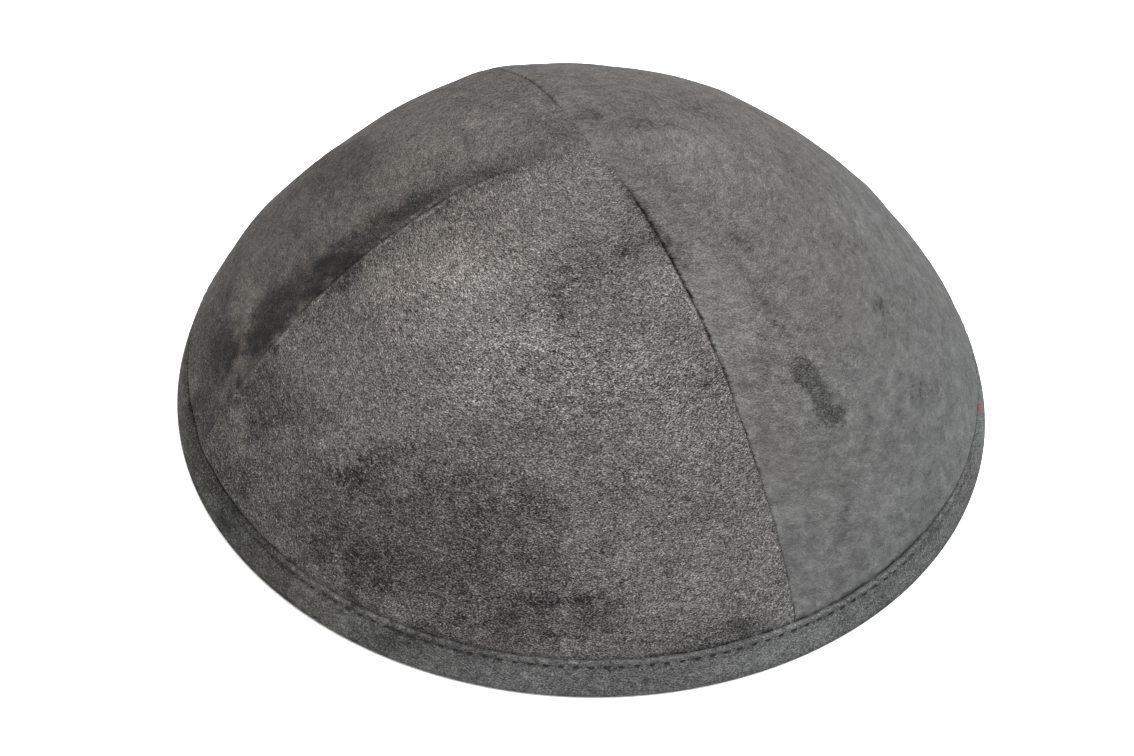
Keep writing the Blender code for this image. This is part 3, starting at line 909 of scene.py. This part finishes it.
def build_binding():
    """The folded strip as one closed surface all the way round."""
    azimuth = np.arange(BINDING_STATIONS) * 360.0 / BINDING_STATIONS - 180.0
    rows = binding_rows(azimuth)
    height = rows[:, 0]
    depth = rows[:, 1] + rows[:, 2] * binding_relief(azimuth[None, :], height)
    points = wall(azimuth[None, :], height, depth)
    index = np.arange(height.size).reshape(height.shape)
    next_row = np.roll(index, -1, axis=0)
    next_station = np.roll(index, -1, axis=1)
    both = np.roll(next_row, -1, axis=1)
    faces = np.stack([index, next_station, both, next_row], axis=-1).reshape(-1, 4)
    piece = make_mesh("binding", points.reshape(-1, 3), faces.tolist())
    along = np.cumsum(np.concatenate([[0.0], np.linalg.norm(np.diff(points[:, 0], axis=0), axis=1)]))
    add_vectors(piece, "cloth", vectors(RIM_RADIUS * np.radians(azimuth), along[:, None], 0.0))
    tone, warmth, grain, clumps = nap_values(points, BINDING_TONE, BINDING_WARMTH, BINDING_GRAIN)
    # Painted highlight along the lip, broken at the stitch creases, and painted shade along the stitch
    # line, both faint at the sides
    lip = bell(height - BINDING_HEIGHT + LIP_HIGHLIGHT_BELOW, LIP_HIGHLIGHT_WIDTH) * (rows[:, 2] > 0.0)
    line = bell(height - STITCH_HEIGHT, STITCH_LINE_SHADE_WIDTH) * (np.abs(rows[:, 2]) > 0.0)
    turned = azimuth[None, :]
    near = 1.0 - 0.85 * beside(turned, PLAIN_SIDES)
    tone += near * lip * (LIP_HIGHLIGHT - LIP_HIGHLIGHT * stitch_crease(turned, height)) - STITCH_LINE_SHADE * near * line
    # Painted light on the right side, painted shade on the left
    painted_side_light = RIGHT_PAINTED_LIGHT * ramp(turned, *RIGHT_SIDE) - LEFT_PAINTED_SHADE * ramp(-turned, *LEFT_SIDE)
    tone += painted_side_light * (1.0 - behind(turned))
    turned_away = ramp(np.abs(turned), *FOLD_SIDES) * (1.0 - behind(turned))
    fold = eased((FOLD_SHADE_HEIGHT - height) / FOLD_SHADE_HEIGHT)
    tone -= (FOLD_SHADE + FOLD_SIDE_SHADE * turned_away) * fold
    add_nap(piece, points, ((tone, warmth, grain, clumps),), (NO_SEAM, 0.0, LINE_LOW))
    return piece


def tube(path, radii, sides=6):
    """Points, faces and places of a closed round tube along a path, with a radius at each point."""
    path = np.asarray(path)
    ways = np.gradient(path, axis=0)
    lengths = np.linalg.norm(ways, axis=1)
    ways = ways / lengths[:, None]
    aside = np.cross(ways, ways + (0.3, 0.5, 0.8))
    aside /= np.linalg.norm(aside, axis=1)[:, None]
    other = np.cross(ways, aside)
    turns = np.arange(sides) * 2.0 * math.pi / sides
    ring = np.cos(turns)[None, :, None] * aside[:, None] + np.sin(turns)[None, :, None] * other[:, None]
    points = (path[:, None] + np.asarray(radii)[:, None, None] * ring).reshape(-1, 3)
    index = np.arange(len(path) * sides).reshape(len(path), sides)
    index = np.concatenate([index, index[:, :1]], axis=1)
    quads = grid_faces(index)[:, ::-1].tolist()
    ends = [list(range(sides))[::-1], [(len(path) - 1) * sides + j for j in range(sides)]]
    return points, quads + ends, vectors(np.cumsum(lengths)[:, None], turns, 0.0).reshape(-1, 3)


def join_tubes(name, tubes):
    """One mesh object of many tubes."""
    faces = []
    start = 0
    for points, tube_faces, _ in tubes:
        faces.extend([i + start for i in face] for face in tube_faces)
        start += len(points)
    piece = make_mesh(name, np.concatenate([t[0] for t in tubes]), faces, sharp=80.0)
    add_vectors(piece, "cloth", np.concatenate([t[2] for t in tubes]))
    return piece


def stitch_row(seed, face):
    """One short arched stitch from each needle hole to the next. The face gives the leg's depth and which
    way is out of it."""
    source = np.random.default_rng(seed)
    step = 360.0 / STITCHES
    tubes = []
    for i in range(STITCHES):
        length = source.uniform(STITCH_SHORTEST, STITCH_LONGEST)
        share = np.linspace(STITCH_START, STITCH_START + length, STITCH_STATIONS)
        share = share + source.uniform(-STITCH_SHIFT, STITCH_SHIFT)
        azimuth = (i + share) * step
        level = STITCH_HEIGHT + source.uniform(-STITCH_WANDER, STITCH_WANDER)
        level = level + (share - 0.5) * STITCH_SLANT
        arch = np.sqrt(np.sin(math.pi * (share - share[0]) / (share[-1] - share[0])).clip(0.0, 1.0))
        depth, out = face(azimuth)
        arch = arch * (1.0 - 0.5 * beside(azimuth, FLAT_SIDES))
        depth = depth - out * (binding_relief(azimuth, level) + THREAD_RADIUS * (1.2 - 1.9 * arch))
        tubes.append(tube(wall(azimuth, level, depth), THREAD_RADIUS * (0.5 + 0.5 * arch)))
    return tubes


def build_topstitching():
    """The row round the outer leg, and the same row where it comes out on the inner one."""
    outer_seed, inner_seed = STITCH_SEEDS
    outer = stitch_row(outer_seed, lambda azimuth: (0.0 * azimuth, -1.0))
    inner = stitch_row(inner_seed, lambda azimuth: (inner_face(azimuth), 1.0))
    return join_tubes("topstitching", outer + inner)


def build_seam_stitches():
    """The sewing thread that shows as small dark ticks deep in each seam."""
    source = np.random.default_rng(TICK_SEED)
    heights = panel_heights()
    along = wall_lengths(heights)
    tubes = []
    for name, seam in SEAMS.items():
        for place in np.arange(TICK_START, along[-1] - TICK_END, TICK_PITCH):
            height = np.interp(place + source.uniform(-TICK_SHIFT, TICK_SHIFT), along, heights)
            radius = round_radius(rise_of(height))
            half = np.degrees(source.uniform(*TICK_HALF) / radius)
            lean = source.uniform(*TICK_LEAN)
            share = np.linspace(-1.0, 1.0, TICK_STATIONS)
            azimuth = seam_line(name, np.full(TICK_STATIONS, height)) + half * share
            levels = height + lean * share
            sunk = seam_relief(seam, np.zeros(TICK_STATIONS), levels) * (1.0 - share**2)
            sunk += seam_relief(seam, np.abs(half * share) * radius * math.pi / 180.0, levels) * share**2
            radii = TICK_RADIUS * (0.6 + 0.4 * (1.0 - share**2))
            uneven = unevenness(wall(azimuth, levels, 0.0))
            depth = tuck(azimuth, levels) + uneven + sunk + TICK_DEPTH
            tubes.append(tube(wall(azimuth, levels, depth), radii, sides=5))
    return join_tubes("seam_stitches", tubes)


def build_fibres(name, fibres):
    """Loose fibres that lie on the nap, each a short curled line."""
    tubes = []
    for fibre in fibres:
        share = np.linspace(-0.5, 0.5, FIBRE_STATIONS)
        lean = math.radians(fibre.turn)
        wave = ripples(on_line(share), FIBRE_WAVE, seed=fibre.seed)
        radius = round_radius(fibre.rise)
        length = fibre.length / 1000.0
        level = length * (share * math.cos(lean) - wave * math.sin(lean))
        climb = length * (share * math.sin(lean) + wave * math.cos(lean))
        azimuth = fibre.azimuth + np.degrees(level / radius)
        _, upright = inward(height_of(fibre.rise))
        radial = math.sqrt(1.0 - upright**2)
        height = height_of(fibre.rise) + climb * radial
        ground = np.where(height > BINDING_HEIGHT, tuck(azimuth, height), 0.0)
        lift = 0.9 + np.abs(ripples(on_line(share), FIBRE_LIFT, seed=fibre.seed))
        lift = fibre.thickness / 1000.0 * lift
        radii = np.full(FIBRE_STATIONS, fibre.thickness / 2000.0)
        tubes.append(tube(wall(azimuth, height, ground - lift), radii, sides=5))
    return join_tubes(name, tubes)


def node(tree, kind, links=None, **values):
    """A shader node with its properties and socket values set, and its inputs linked."""
    made = tree.nodes.new(kind)
    for name, value in values.items():
        setattr(made, name, value)
    for socket, source in (links or {}).items():
        if isinstance(source, bpy.types.NodeSocket):
            tree.links.new(source, made.inputs[socket])
        else:
            made.inputs[socket].default_value = source
    return made


class Maths:
    """Short names for the arithmetic between the sockets of one node tree."""

    def __init__(self, tree):
        """Works in this node tree."""
        self.tree = tree

    def of(self, operation, *sources, clamp=False):
        """The result of one operation."""
        links = dict(enumerate(sources))
        return node(self.tree, "ShaderNodeMath", links, operation=operation, use_clamp=clamp).outputs[0]

    def total(self, *terms):
        """The sum of pairs of a socket and its share."""
        made = self.of("MULTIPLY", *terms[0])
        for socket, share in terms[1:]:
            made = self.of("MULTIPLY_ADD", socket, share, made)
        return made

    def step(self, socket, low, high):
        """A smooth step of a socket between two values."""
        links = {0: socket, 1: low, 2: high}
        made = node(self.tree, "ShaderNodeMapRange", links, interpolation_type="SMOOTHSTEP")
        return made.outputs[0]


def new_material(name):
    """A material with its node tree and its shader."""
    material = bpy.data.materials.new(name)
    material.use_nodes = True
    return material, material.node_tree, material.node_tree.nodes["Principled BSDF"]


def set_inputs(shader, values):
    """Sets some inputs of a shader."""
    for socket, value in values.items():
        shader.inputs[socket].default_value = value


def stored(tree, name):
    """The vectors that the mesh holds by this name."""
    return node(tree, "ShaderNodeAttribute", attribute_name=name).outputs["Vector"]


def split(tree, vector):
    """The three parts of a vector."""
    return node(tree, "ShaderNodeSeparateXYZ", {0: vector}).outputs


def noise(tree, place, layer, unit=1.0):
    """A layer of noise around 0, its length counted in this unit."""
    links = {0: place, 2: (0.0, 0.0, math.radians(layer.turn)), 3: (1.0, layer.stretch, 1.0)}
    laid = node(tree, "ShaderNodeMapping", links).outputs[0]
    links = {"Vector": laid, "Scale": 1.0 / (unit * layer.length), "Detail": layer.detail}
    made = node(tree, "ShaderNodeTexNoise", links | {"Distortion": layer.twist}).outputs[0]
    return Maths(tree).of("SUBTRACT", made, 0.5)


def mixed(tree, share, first, second):
    """The colour between two colours at this share."""
    links = {0: share, 6: (*first, 1.0), 7: (*second, 1.0)}
    return node(tree, "ShaderNodeMix", links, data_type="RGBA").outputs[2]


def seam_painted_shade(tree, cloth):
    """The painted shade line in a seam's groove, with a ragged edge and breaks."""
    maths = Maths(tree)
    away, dark, width = split(tree, stored(tree, "seam"))
    ragged = noise(tree, cloth, SEAM_RAGGED)
    off = maths.of("DIVIDE", maths.of("MULTIPLY_ADD", ragged, 1.5, away), width)
    line = maths.of("EXPONENT", maths.of("MULTIPLY", off, maths.of("MULTIPLY", off, -1.0)))
    broken = maths.of("MULTIPLY_ADD", noise(tree, cloth, SEAM_BREAKS), 3.2, 0.85, clamp=True)
    return maths.of("MULTIPLY", maths.of("MULTIPLY", line, dark), broken)


def suede(name, cool, warm, brightness, fibre):
    """Suede cloth. The tone, warmth and grain of its nap, with the light and shade painted into the tone,
    come from the nap values of its mesh, and its fibres from noise laid out on the flat cloth."""
    material, tree, shader = new_material(name)
    set_inputs(shader, SUEDE_SHINE)
    maths = Maths(tree)
    cloth = stored(tree, "cloth")
    tone, warmth, grain = split(tree, stored(tree, "nap"))
    cover, brown, _ = split(tree, stored(tree, "wear"))

    layers = [noise(tree, cloth, layer, fibre) for layer in NAP_LAYERS]
    ground, curls, breaks, tufts, cracks, clumps = layers
    # The curls give thin light strands: light fibres, partly painted glints on them
    curls = maths.of("MULTIPLY", maths.of("ABSOLUTE", curls), CURL_SHARPNESS)
    lines = maths.of("SUBTRACT", 1.0, curls, clamp=True)
    strands_and_glints = maths.of("MULTIPLY", lines, maths.step(breaks, *BREAK_STEP))
    cracks = maths.step(maths.of("ABSOLUTE", cracks), *CRACK_STEP)
    fine = maths.total((ground, GROUND_SHARE), (strands_and_glints, STRAND_AND_GLINT_SHARE), (cracks, CRACK_SHARE))
    relief = maths.of("MULTIPLY_ADD", tufts, TUFT_RELIEF, fine)

    dark = maths.step(maths.total((clumps, CLUMP_SHARE), (cover, 1.0)), *CLUMP_STEP)
    shares = [maths.of("MULTIPLY_ADD", grain, *by_grain) for by_grain in SHARES_BY_GRAIN]
    fine_share, tuft_share, mottle_share = shares
    level = maths.of("MULTIPLY_ADD", maths.of("SUBTRACT", fine, CRACK_SHARE), fine_share, tone)
    level = maths.of("MULTIPLY_ADD", tufts, tuft_share, level)
    mottle = maths.of("MULTIPLY", noise(tree, cloth, MOTTLE), mottle_share)
    clouds = noise(tree, cloth, CLOUDS)
    level = maths.total((level, 1.0), (mottle, 1.0), (clouds, CLOUD_SHARE), (dark, CLUMP_DARK))
    # The seam lines' painted shade darkens the nap here
    level = maths.of("MAXIMUM", maths.of("SUBTRACT", level, seam_painted_shade(tree, cloth)), DARKEST)
    albedo = maths.of("MULTIPLY", maths.of("POWER", level, GAMMA), brightness)
    hue = mixed(tree, warmth, cool, warm)
    aged = mixed(tree, brown, WHITE, BROWN)
    tint = node(tree, "ShaderNodeVectorMath", {0: hue, 1: aged}, operation="MULTIPLY").outputs[0]
    colour = node(tree, "ShaderNodeVectorMath", {0: tint, "Scale": albedo}, operation="SCALE")
    tree.links.new(colour.outputs[0], shader.inputs["Base Color"])
    rough = maths.of("MULTIPLY_ADD", relief, *ROUGH_BY_RELIEF, clamp=True)
    tree.links.new(rough, shader.inputs["Roughness"])
    bump = node(tree, "ShaderNodeBump", {"Height": relief} | SUEDE_BUMP)
    tree.links.new(bump.outputs[0], shader.inputs["Normal"])
    return material


def spun(name, dark, light, pitch):
    """Spun thread: plies that wind round it, with uneven dye."""
    material, tree, shader = new_material(name)
    shader.inputs["Specular IOR Level"].default_value = 0.08
    maths = Maths(tree)
    along, around, _ = split(tree, stored(tree, "cloth"))
    wound = maths.of("SINE", maths.total((along, 2.0 * math.pi / pitch), (around, 2.0)))
    uneven = noise(tree, node(tree, "ShaderNodeTexCoord").outputs["Object"], UNEVEN_DYE)
    level = maths.of("ADD", maths.total((wound, 0.28), (uneven, 1.0)), 0.45, clamp=True)
    tree.links.new(mixed(tree, level, dark, light), shader.inputs["Base Color"])
    tree.links.new(maths.of("MULTIPLY_ADD", uneven, 0.3, 0.7), shader.inputs["Roughness"])
    bump = node(tree, "ShaderNodeBump", {"Height": wound, "Distance": 0.00004, "Strength": 0.6})
    tree.links.new(bump.outputs[0], shader.inputs["Normal"])
    return material


def build_floor():
    """A plain pale floor, which isn't part of the cap."""
    sides = ((-1.0, -1.0), (1.0, -1.0), (1.0, 1.0), (-1.0, 1.0))
    corners = [(FLOOR_SIZE * x, FLOOR_SIZE * y, 0.0) for x, y in sides]
    floor = make_mesh("floor", corners, [(0, 1, 2, 3)])
    material, _, shader = new_material("pale_floor")
    set_inputs(shader, FLOOR_LOOK)
    floor.data.materials.append(material)


def build_lights():
    """Two soft lights and an even white surround."""
    for light in LIGHTS:
        data = bpy.data.lights.new(light.name, "AREA")
        data.size = light.size
        data.energy = light.power
        lamp = add_object(light.name, data)
        azimuth = math.radians(light.azimuth)
        elevation = math.radians(light.elevation)
        level = math.cos(elevation)
        away = Vector((math.sin(azimuth) * level, -math.cos(azimuth) * level, math.sin(elevation)))
        lamp.location = away * light.distance
        lamp.rotation_euler = away.to_track_quat("Z", "Y").to_euler()
    world = bpy.data.worlds.new("studio")
    world.use_nodes = True
    light = {"Color": (*WHITE, 1.0), "Strength": WORLD_STRENGTH}
    set_inputs(world.node_tree.nodes["Background"], light)
    bpy.context.scene.world = world


def build_camera():
    """The camera, where the photo was taken from."""
    place, right, up, back = photo_view()
    data = bpy.data.cameras.new("camera")
    data.sensor_width = SENSOR_WIDTH
    data.lens = FOCAL_PIXELS / FRAME_PIXELS * SENSOR_WIDTH
    camera = add_object("camera", data)
    turned = Matrix((right.tolist(), up.tolist(), back.tolist())).transposed()
    camera.matrix_world = Matrix.Translation(place.tolist()) @ turned.to_4x4()
    bpy.context.scene.camera = camera


def panel_cut(panel):
    """Width, length and area of a panel's flat cut: the width at the rim, the length up to the apex."""
    first, last = seam_span(panel)
    span = math.radians(last - first)
    heights = panel_heights()
    along = wall_lengths(heights)
    widths = span * round_radius(rise_of(heights))
    area = float(np.sum(0.5 * (widths[1:] + widths[:-1]) * np.diff(along)))
    return span * RIM_RADIUS, float(along[-1]), area


def binding_cut():
    """Length and width of the binding's flat cut: half its section's round, as the cloth goes."""
    rows = binding_rows(np.zeros(1))[:, :2, 0]
    ring = np.concatenate([rows, rows[:1]])
    half_round = float(np.linalg.norm(np.diff(ring, axis=0), axis=1).sum()) / 2.0
    return 2.0 * math.pi * RIM_RADIUS, half_round


def dress(piece, materials, replaced=()):
    """Gives a piece its materials and ties it to the frame."""
    for material in materials:
        piece.data.materials.append(material)
    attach(piece, "root")
    if replaced:
        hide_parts(*replaced)
    return piece


def main():
    """The whole scene."""
    bpy.context.scene.view_settings.view_transform = "Standard"
    build_camera()
    build_floor()
    build_lights()
    face = suede("suede_face", FACE_COOL, FACE_WARM, FACE_BRIGHTNESS, FACE_FIBRE)
    reverse = suede("suede_reverse", REVERSE_COOL, REVERSE_WARM, REVERSE_BRIGHTNESS, REVERSE_FIBRE)
    thread = spun("spun_thread", *BLACK_THREAD)
    binding = dress(build_binding(), (face,), ("rim_binding",))
    topstitching = dress(build_topstitching(), (thread,))
    binding_cut()
    for panel in PANELS:
        crown = dress(build_panel(panel), (face, reverse), (panel.node,))
        width, length, area = panel_cut(panel)
    dress(build_seam_stitches(), (thread,))
    red = spun("red_fibre", *RED_FIBRE)
    pale = spun("pale_fibre", *PALE_FIBRE)
    dress(build_fibres("red_fibres", RED_FIBRES), (red,))
    dress(build_fibres("pale_fibres", PALE_FIBRES), (pale,))


main()
